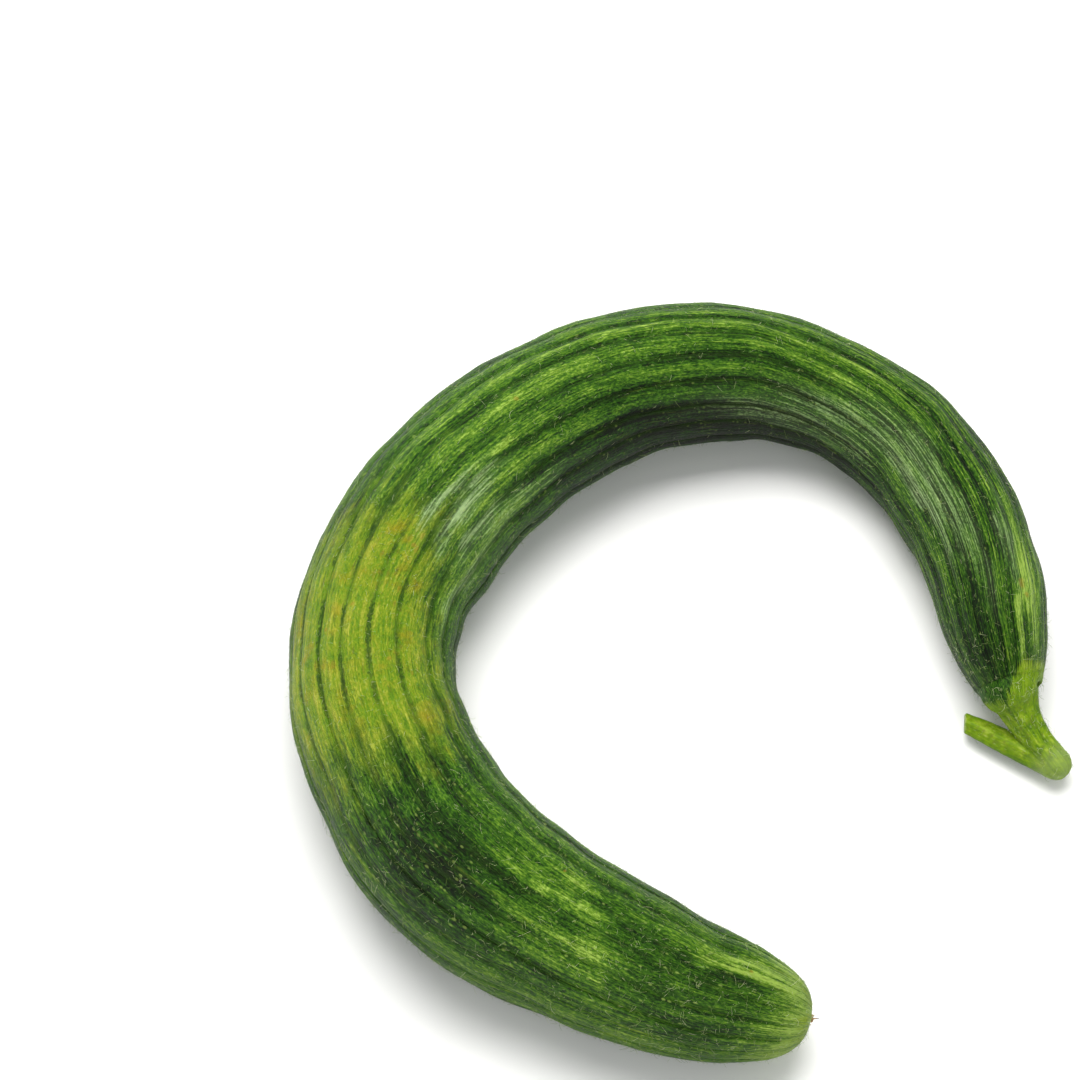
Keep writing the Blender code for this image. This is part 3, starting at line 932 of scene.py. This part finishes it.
def nearestOnPath(points, rows, rowsBetween=24):
    rows = np.array(rows, dtype=float)
    place = np.linspace(0, len(rows) - 1, (len(rows) - 1) * rowsBetween + 1)
    path = np.stack([np.interp(place, np.arange(len(rows)), rows[:, k]) for k in range(4)], axis=1)
    gaps = np.linalg.norm(np.diff(path[:, :3], axis=0), axis=1)
    lengths = np.concatenate(([0.0], np.cumsum(gaps)))
    away = np.linalg.norm(points[:, None, :] - path[None, :, :3], axis=2)
    nearest = np.argmin(away - path[None, :, 3] * 0.3, axis=1)
    way = unit(np.gradient(path[:, :3], axis=0))[nearest]
    side = unit(np.cross(way, np.array((0.0, 0.0, 1.0))))
    up = np.cross(side, way)
    off = points - path[nearest, :3]
    angle = np.arctan2((off * up).sum(axis=1), (off * side).sum(axis=1))
    return lengths[nearest], angle, away[np.arange(len(points)), nearest] - path[nearest, 3]


def makeStalk():
    shape = stalkShape
    neck, neckSide, neckUp, neckWay, _ = lineAt(0.0)
    collarRows = tuple((*(neck + neckWay * place), radius) for place, radius in shape["collar"])
    frontRows = (*collarRows, *shape["front"])
    front = sweepTube("stalk", frontRows, -neckWay)
    back = sweepTube("stalkBack", shape["back"])
    editMode(back)
    cutPoint = tuple(value * mm for value in shape["cut"][0])
    bpy.ops.mesh.bisect(plane_co=cutPoint, plane_no=shape["cut"][1], use_fill=True, clear_outer=True)
    startClean()
    x, y, z, radius = (value * mm for value in shape["knuckle"])
    bpy.ops.mesh.primitive_uv_sphere_add(segments=32, ring_count=20, radius=radius, location=(x, y, z))
    applyPlace()
    joinTo(front, (bpy.context.object, back))
    front.name = "foldedStalk"
    allOver, inFold = shape["smoothing"]
    reshape(front, "REMESH", mode="VOXEL", voxel_size=shape["voxel"] * mm)
    reshape(front, "SMOOTH", factor=0.5, iterations=allOver)

    # the fold where the collar runs into the stalk is smoothed further
    points = pointsOf(front) / mm
    along = ((points - neck) * neckWay).sum(axis=1)
    nearNeck = front.vertex_groups.new(name="nearNeck")
    foldAt, foldReach, foldLimit = shape["fold"]
    fromFold = bell(along, foldAt, foldReach)
    fromFold = fromFold * (np.linalg.norm(points - neck, axis=1) < foldLimit)
    for index in np.flatnonzero(fromFold > 0.05):
        nearNeck.add([int(index)], float(fromFold[index]), "REPLACE")
    reshape(front, "SMOOTH", factor=0.5, iterations=inFold, vertex_group="nearNeck")
    front.vertex_groups.clear()

    points = pointsOf(front) / mm
    alongFront, angleFront, offFront = nearestOnPath(points, frontRows)
    alongBack, angleBack, offBack = nearestOnPath(points, shape["back"])
    onBack = (offBack < offFront).astype(float)
    angle = np.where(onBack > 0, angleBack, angleFront)
    along = np.where(onBack > 0, 40 + alongBack, alongFront)
    normals = readAll(front.data.vertices, "normal", 3)
    fromKnuckle = np.linalg.norm(points - np.array(shape["knuckle"][:3]), axis=1)
    knuckle = bell(fromKnuckle, 0, shape["knuckleTint"], 4)
    cutPlace, cutWay = np.array(shape["cut"][0]), unit(np.array(shape["cut"][1]))
    cut = easeStep(-0.5, -0.15, ((points - cutPlace) * cutWay).sum(axis=1))
    cut = cut * (np.linalg.norm(points - cutPlace, axis=1) < shape["cutReach"])
    ridge = shape["edgeHeight"] * np.cos(shape["edges"] * angle + 0.06 * along)
    ridge = ridge * (1 - 0.8 * knuckle) * (1 - cut)
    points = points + normals * (ridge * easeStep(0.5, 3, along))[:, None]
    points[:, 2] = np.maximum(points[:, 2], shape["offFloor"])
    movePoints(front, points * mm)
    addLumps(front, "stalkLumps", *shape["lumps"])

    unbent = np.stack((4 * np.cos(angle), 4 * np.sin(angle), along), axis=1) * mm
    storeValues(front, "unbent", "FLOAT_VECTOR", unbent)
    off = points - neck
    s = (off * neckWay).sum(axis=1)
    around = np.degrees(np.arctan2((off * neckUp).sum(axis=1), (off * neckSide).sum(axis=1)))
    darkEnd, streaksEnd, streaksFull = shape["skinReach"]
    skinSide = (1 - lightCollar(s, around)) * (s > darkEnd) * (1 - onBack)
    storeValues(front, "skinUnbent", "FLOAT_VECTOR", unbentPlace(s, around))
    storeValues(front, "nearNeck", "FLOAT", easeStep(streaksEnd, streaksFull, s) * (1 - onBack))
    # painted light: the back stalk lighter on its top side and darker underneath
    storeValues(front, "paintedTopLight", "FLOAT", onBack * np.sin(angle))
    storeValues(front, "stalkTones", "FLOAT_COLOR", np.stack((skinSide, knuckle, onBack, cut), axis=1))
    bpy.ops.object.shade_smooth()
    return front, along, onBack, knuckle


def makeStalkMaterial():
    material, tree, shader = newMaterial("freshStalk")
    unbent = readAttribute(tree, "unbent").outputs["Vector"]
    place = objectPlace(tree)
    skinSide, knuckle, onBack, cut = readColour(tree, "stalkTones")
    fine = placeFibres(tree, unbent, 0.5, 5.0, 3.2)
    coarse = placeFibres(tree, unbent, 1.8, 16.0, 2.6)
    soft = placeBlotches(tree, place, 2.4, 0.3, 0.7)
    skinPlace = readAttribute(tree, "skinUnbent").outputs["Vector"]
    skinFine, skinCoarse, grain, skinThreads = placeSkinStreaks(tree, skinPlace)
    nearNeck = readAttribute(tree, "nearNeck").outputs["Fac"]
    paintedTopLight = readAttribute(tree, "paintedTopLight").outputs["Fac"]
    smoother = minus(tree, 1.0, times(tree, onBack, 0.5))
    streaked = times(tree, total(tree, (fine, 0.36), (coarse, 0.3)), smoother)
    # the back stalk's painted light, lighter on top and darker underneath
    ownTone = total(tree, (streaked, 1.0), (soft, 0.34), (paintedTopLight, 0.3), (onBack, 0.05))
    neckTone = total(tree, (skinFine, 0.3), (skinCoarse, 0.25), (grain, 0.25), (skinThreads, 0.1))
    toNeck = minus(tree, plus(tree, neckTone, 0.06), ownTone)
    tone = plus(tree, ownTone, times(tree, nearNeck, toNeck))
    colour = ramp(tree, tone, stalkColours["scale"])
    bruises = placeBlotches(tree, place, 1.4, 0.53, 0.7)
    colour = mixed(tree, times(tree, bruises, 0.6), colour, stalkColours["bruise"])
    skinMask = between(tree, total(tree, (skinFine, -0.7), (skinSide, 1.0)), -0.1, 0.4)
    skinTone = total(tree, (skinFine, 0.18), (skinThreads, 0.16), (grain, 0.38), (skinCoarse, 0.16))
    skinTone = minus(tree, skinTone, 0.09)
    colour = mixed(tree, skinMask, colour, ramp(tree, skinTone, skinColours["scale"]))
    knuckleColour = mixed(tree, soft, stalkColours["knuckle"], stalkColours["knuckleShade"])
    colour = mixed(tree, times(tree, knuckle, 0.7), colour, knuckleColour)
    core = placeBlotches(tree, place, 0.9, 0.4, 0.62)
    colour = mixed(tree, cut, colour, mixed(tree, core, stalkColours["cut"], stalkColours["core"]))
    flecks = placeSpecks(tree, unbent, 0.9, 0.3, 0.5)
    colour = mixed(tree, times(tree, flecks, 0.2), colour, stalkColours["fleck"])
    rough = plus(tree, total(tree, (fine, 0.12), (soft, 0.08), (onBack, -0.12)), 0.46)
    height = total(tree, (fine, 0.5), (soft, 0.4), (flecks, 0.3))
    finishShader(tree, shader, colour, rough, 0.14, (height, 0.5, 0.3))
    shader.inputs["Subsurface Weight"].default_value = 0.06
    shader.inputs["Subsurface Radius"].default_value = (1.0 * mm, 1.4 * mm, 0.4 * mm)
    shader.inputs["Subsurface Scale"].default_value = 1.0
    return material


stalk, stalkAlong, stalkBackShare, stalkKnuckle = makeStalk()
dress(stalk, "stalk", makeStalkMaterial())
print("stalk made", len(stalk.data.polygons), "faces")


flowerShape = {
    "gap": 0.1,
    "sunk": 0.3,
    "nub": ((1.15, 0.35), (0.95, 0.35), (0.62, 0.35), (0.7, 0.35), (0.4, 0.25)),  # radius, step out
    "dent": (0.15, 0.12),  # in the nub's end: its rim, and its depth
    "sides": 18,
    "pucker": 0.16,
    "spike": (0.3, 2.4),  # radius, length
    "spikeEnd": 0.05,
    "petal": (0.9, 1.5, 0.08),  # width, length, thickness
    # each petal's stub: its turn round the nub, its size and how far it leans
    "stubs": ((20, 0.7, 0.55), (95, 1.0, 0.25), (160, 0.5, 0.7), (245, 0.8, 0.5), (310, 0.6, 0.8)),
    "stubsOut": 0.75,
}


def makeFlowerRemains():
    shape = flowerShape
    # the nub: a circle drawn out ring by ring, drawn in where it has shrivelled
    startClean()
    first = shape["nub"][0][0]
    bpy.ops.mesh.primitive_circle_add(
        vertices=shape["sides"], radius=first * mm, fill_type="NGON", location=(0, 0, -shape["sunk"] * mm)
    )
    nub = bpy.context.object
    applyPlace()
    editMode(nub)
    before, height = first, -shape["sunk"]
    for radius, step in shape["nub"]:
        bpy.ops.mesh.extrude_region_move(TRANSFORM_OT_translate={"value": (0, 0, step * mm)})
        height += step
        share = radius / before
        bpy.ops.transform.resize(value=(share, share, 1), center_override=(0, 0, height * mm))
        before = radius
    inset, dip = shape["dent"]
    bpy.ops.mesh.inset(thickness=inset * mm)
    bpy.ops.transform.translate(value=(0, 0, -dip * mm))
    bpy.ops.mesh.select_all(action="SELECT")
    bpy.ops.mesh.normals_make_consistent(inside=False)
    objectMode()
    points = pointsOf(nub) / mm
    angle = np.arctan2(points[:, 1], points[:, 0])
    drawn = 1 + shape["pucker"] * np.sin(3 * angle + 2 * points[:, 2]) + 0.07 * np.sin(7 * angle + 1)
    points[:, :2] *= drawn[:, None]
    movePoints(nub, points * mm)
    reshape(nub, "SUBSURF", levels=2, render_levels=2)

    # one torn petal stub, copied round the nub at uneven lengths and turns
    startClean()
    width, length, thick = shape["petal"]
    bpy.ops.mesh.primitive_cube_add(size=1, location=(0, 0, length / 2 * mm))
    stub = bpy.context.object
    stub.scale = (width * mm, thick * mm, length * mm)
    applyPlace()
    editMode(stub)
    bpy.ops.mesh.subdivide(number_cuts=5)
    objectMode()
    points = pointsOf(stub) / mm
    share = points[:, 2] / length
    points[:, 0] *= 1 - 0.8 * share**1.5
    points[:, 1] += 0.25 * np.sin(3.0 * share) + 0.12 * np.sin(5 * points[:, 0] + 4 * share)
    points[:, 2] += 0.12 * np.sin(7 * points[:, 0]) * share
    movePoints(stub, points * mm)
    parts = []
    for turn, size, lean in shape["stubs"]:
        copy = stub.copy()
        copy.data = stub.data.copy()
        bpy.context.collection.objects.link(copy)
        spot = Matrix.Rotation(math.radians(turn), 4, "Z")
        spot = spot @ Matrix.Translation((0, shape["stubsOut"] * mm, 0.1 * mm))
        copy.matrix_world = spot @ Matrix.Rotation(-lean, 4, "X") @ Matrix.Diagonal((size, 1, size, 1))
        parts.append(copy)
    bpy.data.objects.remove(stub, do_unlink=True)

    # the stiff dead style
    startClean()
    radius, length = shape["spike"]
    bpy.ops.mesh.primitive_cone_add(
        vertices=8, radius1=radius * mm, radius2=shape["spikeEnd"] * mm, depth=length * mm,
        location=(0, 0, length / 2 * mm),
    )
    spike = bpy.context.object
    applyPlace()
    editMode(spike)
    for share in (0.2, 0.4, 0.6, 0.8):
        bpy.ops.mesh.select_all(action="SELECT")
        bpy.ops.mesh.bisect(plane_co=(0, 0, length * share * mm), plane_no=(0, 0, 1))
    objectMode()
    points = pointsOf(spike) / mm
    points[:, 0] -= 0.1 * points[:, 2] ** 2 * 0.6
    points[:, 1] += 0.45 * points[:, 2] + 0.1 * np.sin(points[:, 2] * 2)
    movePoints(spike, (points + np.array((0.1, 0.35, 0.1))) * mm)
    parts.append(spike)

    joinTo(nub, parts)
    nub.name = "flowerRemains"
    points = pointsOf(nub) / mm
    storeValues(nub, "driedHeight", "FLOAT", points[:, 2] / 2.0)
    centre, side, up, way, _ = lineAt(fruitLength)
    centre = centre + way * shape["gap"]
    placing = Matrix([[side[k], up[k], way[k], centre[k] * mm] for k in range(3)] + [[0, 0, 0, 1]])
    nub.matrix_world = placing
    applyPlace()
    bpy.ops.object.shade_smooth()
    return nub


flowerColours = {
    "scale": ((0.15, paint(96, 66, 36)), (0.5, paint(164, 124, 76)), (0.9, paint(214, 190, 148))),
    "spike": paint(62, 44, 30),
}


def makeFlowerMaterial():
    material, tree, shader = newMaterial("driedPetal")
    place = objectPlace(tree)
    height = readAttribute(tree, "driedHeight").outputs["Fac"]
    soft = placeBlotches(tree, place, 0.8, 0.3, 0.7)
    veins = placeFibres(tree, place, 0.25, 1.5, 2.0)
    tone = total(tree, (soft, 0.45), (veins, 0.55))
    colour = ramp(tree, tone, flowerColours["scale"])
    colour = mixed(tree, between(tree, height, 0.75, 1.15), colour, flowerColours["spike"])
    finishShader(tree, shader, colour, plus(tree, times(tree, veins, 0.15), 0.72), 0.5, (tone, 0.6, 0.15))
    return material


flower = makeFlowerRemains()
dress(flower, "flower_remains", makeFlowerMaterial())
print("flower remains made")


def oneHair(cuts):
    startClean()
    bpy.ops.mesh.primitive_cone_add(
        vertices=3, radius1=1, radius2=0, depth=1, location=(0, 0, 0.5), end_fill_type="NGON"
    )
    hair = bpy.context.object
    applyPlace()
    editMode(hair)
    for cut in range(cuts):
        bpy.ops.mesh.select_all(action="SELECT")
        bpy.ops.mesh.bisect(plane_co=(0, 0, (cut + 1) / (cuts + 1)), plane_no=(0, 0, 1))
    bpy.ops.mesh.select_all(action="SELECT")
    bpy.ops.mesh.quads_convert_to_tris()
    bpy.ops.mesh.normals_make_consistent(inside=False)
    objectMode()
    points = pointsOf(hair)
    faces = readAll(hair.data.polygons, "vertices", 3, np.int64)
    bpy.data.objects.remove(hair, do_unlink=True)
    level = np.round(points[:, 2] * (cuts + 1)).astype(int)
    swell = 1 - 0.35 * points[:, 2]
    flat = points[:, :2] / np.maximum(np.linalg.norm(points[:, :2], axis=1, keepdims=True), 1e-9)
    flat[level == cuts + 1] = 0
    return flat * swell[:, None], level, faces


def rootsOn(thing, weights, count, random, settled=None):
    data = thing.data
    areas, normals = readAll(data.polygons, "area"), readAll(data.polygons, "normal", 3)
    starts = readAll(data.polygons, "loop_start", kind=np.int64)
    corners = readAll(data.loops, "vertex_index", kind=np.int64)
    trio = np.stack([corners[starts + k] for k in range(3)], axis=1)
    points = pointsOf(thing)
    if settled is not None:
        # the faces that close the ends come in another order each run, so their place orders them
        ends = settled + np.lexsort(points[trio[settled:]].mean(axis=1).T)
        order = np.concatenate((np.arange(settled), ends))
        areas, normals, trio = areas[order], normals[order], trio[order]
    chance = areas * weights[trio].mean(axis=1) * (points[trio[:, 0], 2] > fuzzShape["lowestRoot"] * mm)
    chosen = random.choice(len(areas), size=count, p=chance / chance.sum())
    u, v = random.rand(count, 1), random.rand(count, 1)
    a, b, c = (points[trio[chosen, k]] for k in range(3))
    return a + (b - a) * u * 0.9 + (c - b) * v * 0.9, normals[chosen]


def growHairs(name, roots, normals, kind, random):
    flat, level, faces = oneHair(kind["cuts"])
    count, steps = len(roots), kind["cuts"] + 1
    low, high = kind["length"]
    length = low + (high - low) * random.rand(count) ** fuzzShape["manyShort"]
    heading = random.rand(count) * 2 * np.pi
    lift = np.radians(random.uniform(*kind["lift"], count))
    curl = np.radians(kind["curl"]) * random.normal(size=count)
    droop = np.radians(random.uniform(*fuzzShape["droop"], count))
    across = unit(np.cross(normals, random.normal(size=(count, 3))))
    other = np.cross(normals, across)
    centre = roots / mm - normals * fuzzShape["rootDepth"]
    centres, sides, ups = [], [], []
    for step in range(steps + 1):
        share = step / steps
        turn = heading + curl * share
        rise = lift - droop * share
        way = (
            across * (np.cos(turn) * np.cos(rise))[:, None] + other * (np.sin(turn) * np.cos(rise))[:, None]
            + normals * np.sin(rise)[:, None]
        )
        side = unit(np.cross(normals, way))
        centres.append(centre)
        sides.append(side)
        ups.append(np.cross(way, side))
        centre = centre + way * (length / steps)[:, None]
    centres, sides, ups = (np.stack(rows, axis=1) for rows in (centres, sides, ups))
    thick = kind["thick"] * random.uniform(*fuzzShape["thickRange"], count)[:, None, None]
    points = centres[:, level] + thick * (
        sides[:, level] * flat[None, :, :1] + ups[:, level] * flat[None, :, 1:2]
    )
    points[..., 2] = np.maximum(points[..., 2], fuzzShape["offFloor"])
    everyFace = (faces[None] + (np.arange(count) * len(flat))[:, None, None]).reshape(-1, 3)
    mesh = bpy.data.meshes.new(name)
    mesh.vertices.add(count * len(flat))
    mesh.vertices.foreach_set("co", (points * mm).astype(np.float32).ravel())
    mesh.loops.add(everyFace.size)
    mesh.loops.foreach_set("vertex_index", everyFace.ravel().astype(np.int32))
    mesh.polygons.add(len(everyFace))
    mesh.polygons.foreach_set("loop_start", np.arange(len(everyFace), dtype=np.int32) * 3)
    mesh.update(calc_edges=True)
    mesh.validate()
    grown = bpy.data.objects.new(name, mesh)
    bpy.context.collection.objects.link(grown)
    tone = np.repeat(random.rand(count), len(flat))
    storeValues(grown, "hairTone", "FLOAT", tone)
    mesh.shade_smooth()
    return grown


fuzzColours = ((0.2, paint(80, 112, 36)), (0.6, paint(132, 158, 74)), (0.9, paint(218, 224, 176)))


def makeHairMaterial():
    material, tree, shader = newMaterial("paleFuzz")
    tone = readAttribute(tree, "hairTone").outputs["Fac"]
    place = objectPlace(tree)
    soft = placeBlotches(tree, place, 2.0, 0.3, 0.7)
    shade = total(tree, (tone, 0.75), (soft, 0.25))
    colour = ramp(tree, shade, fuzzColours)
    finishShader(tree, shader, colour, plus(tree, times(tree, soft, 0.15), 0.4), 0.3)
    return material


def makeFuzz():
    random = np.random.RandomState(fuzzShape["seed"])
    material = makeHairMaterial()
    fuzzy = readAll(skin.data.attributes["skinLines"].data, "color", 4)[:, 2]
    hairy = (1 - stalkBackShare) * (1 - 0.7 * stalkKnuckle) * easeStep(0.5, 2.5, stalkAlong) + 0.03
    for name, thing, weights, settled, kind, slot in (
        ("fuzz_1", skin, fuzzy, skinGridFaces, "short", "fruit_skin"),
        ("fuzz_2", skin, fuzzy, skinGridFaces, "short", "fruit_skin"),
        ("curledFuzz", skin, fuzzy**1.5, skinGridFaces, "curls", "fruit_skin"),
        ("stalkFuzz", stalk, hairy, None, "onStalk", "green_stalk"),
    ):
        kind = fuzzShape[kind]
        roots, normals = rootsOn(thing, weights, kind["hairs"], random, settled)
        dress(growHairs(name, roots, normals, kind, random), None, material)


makeFuzz()
print("fuzz grown")
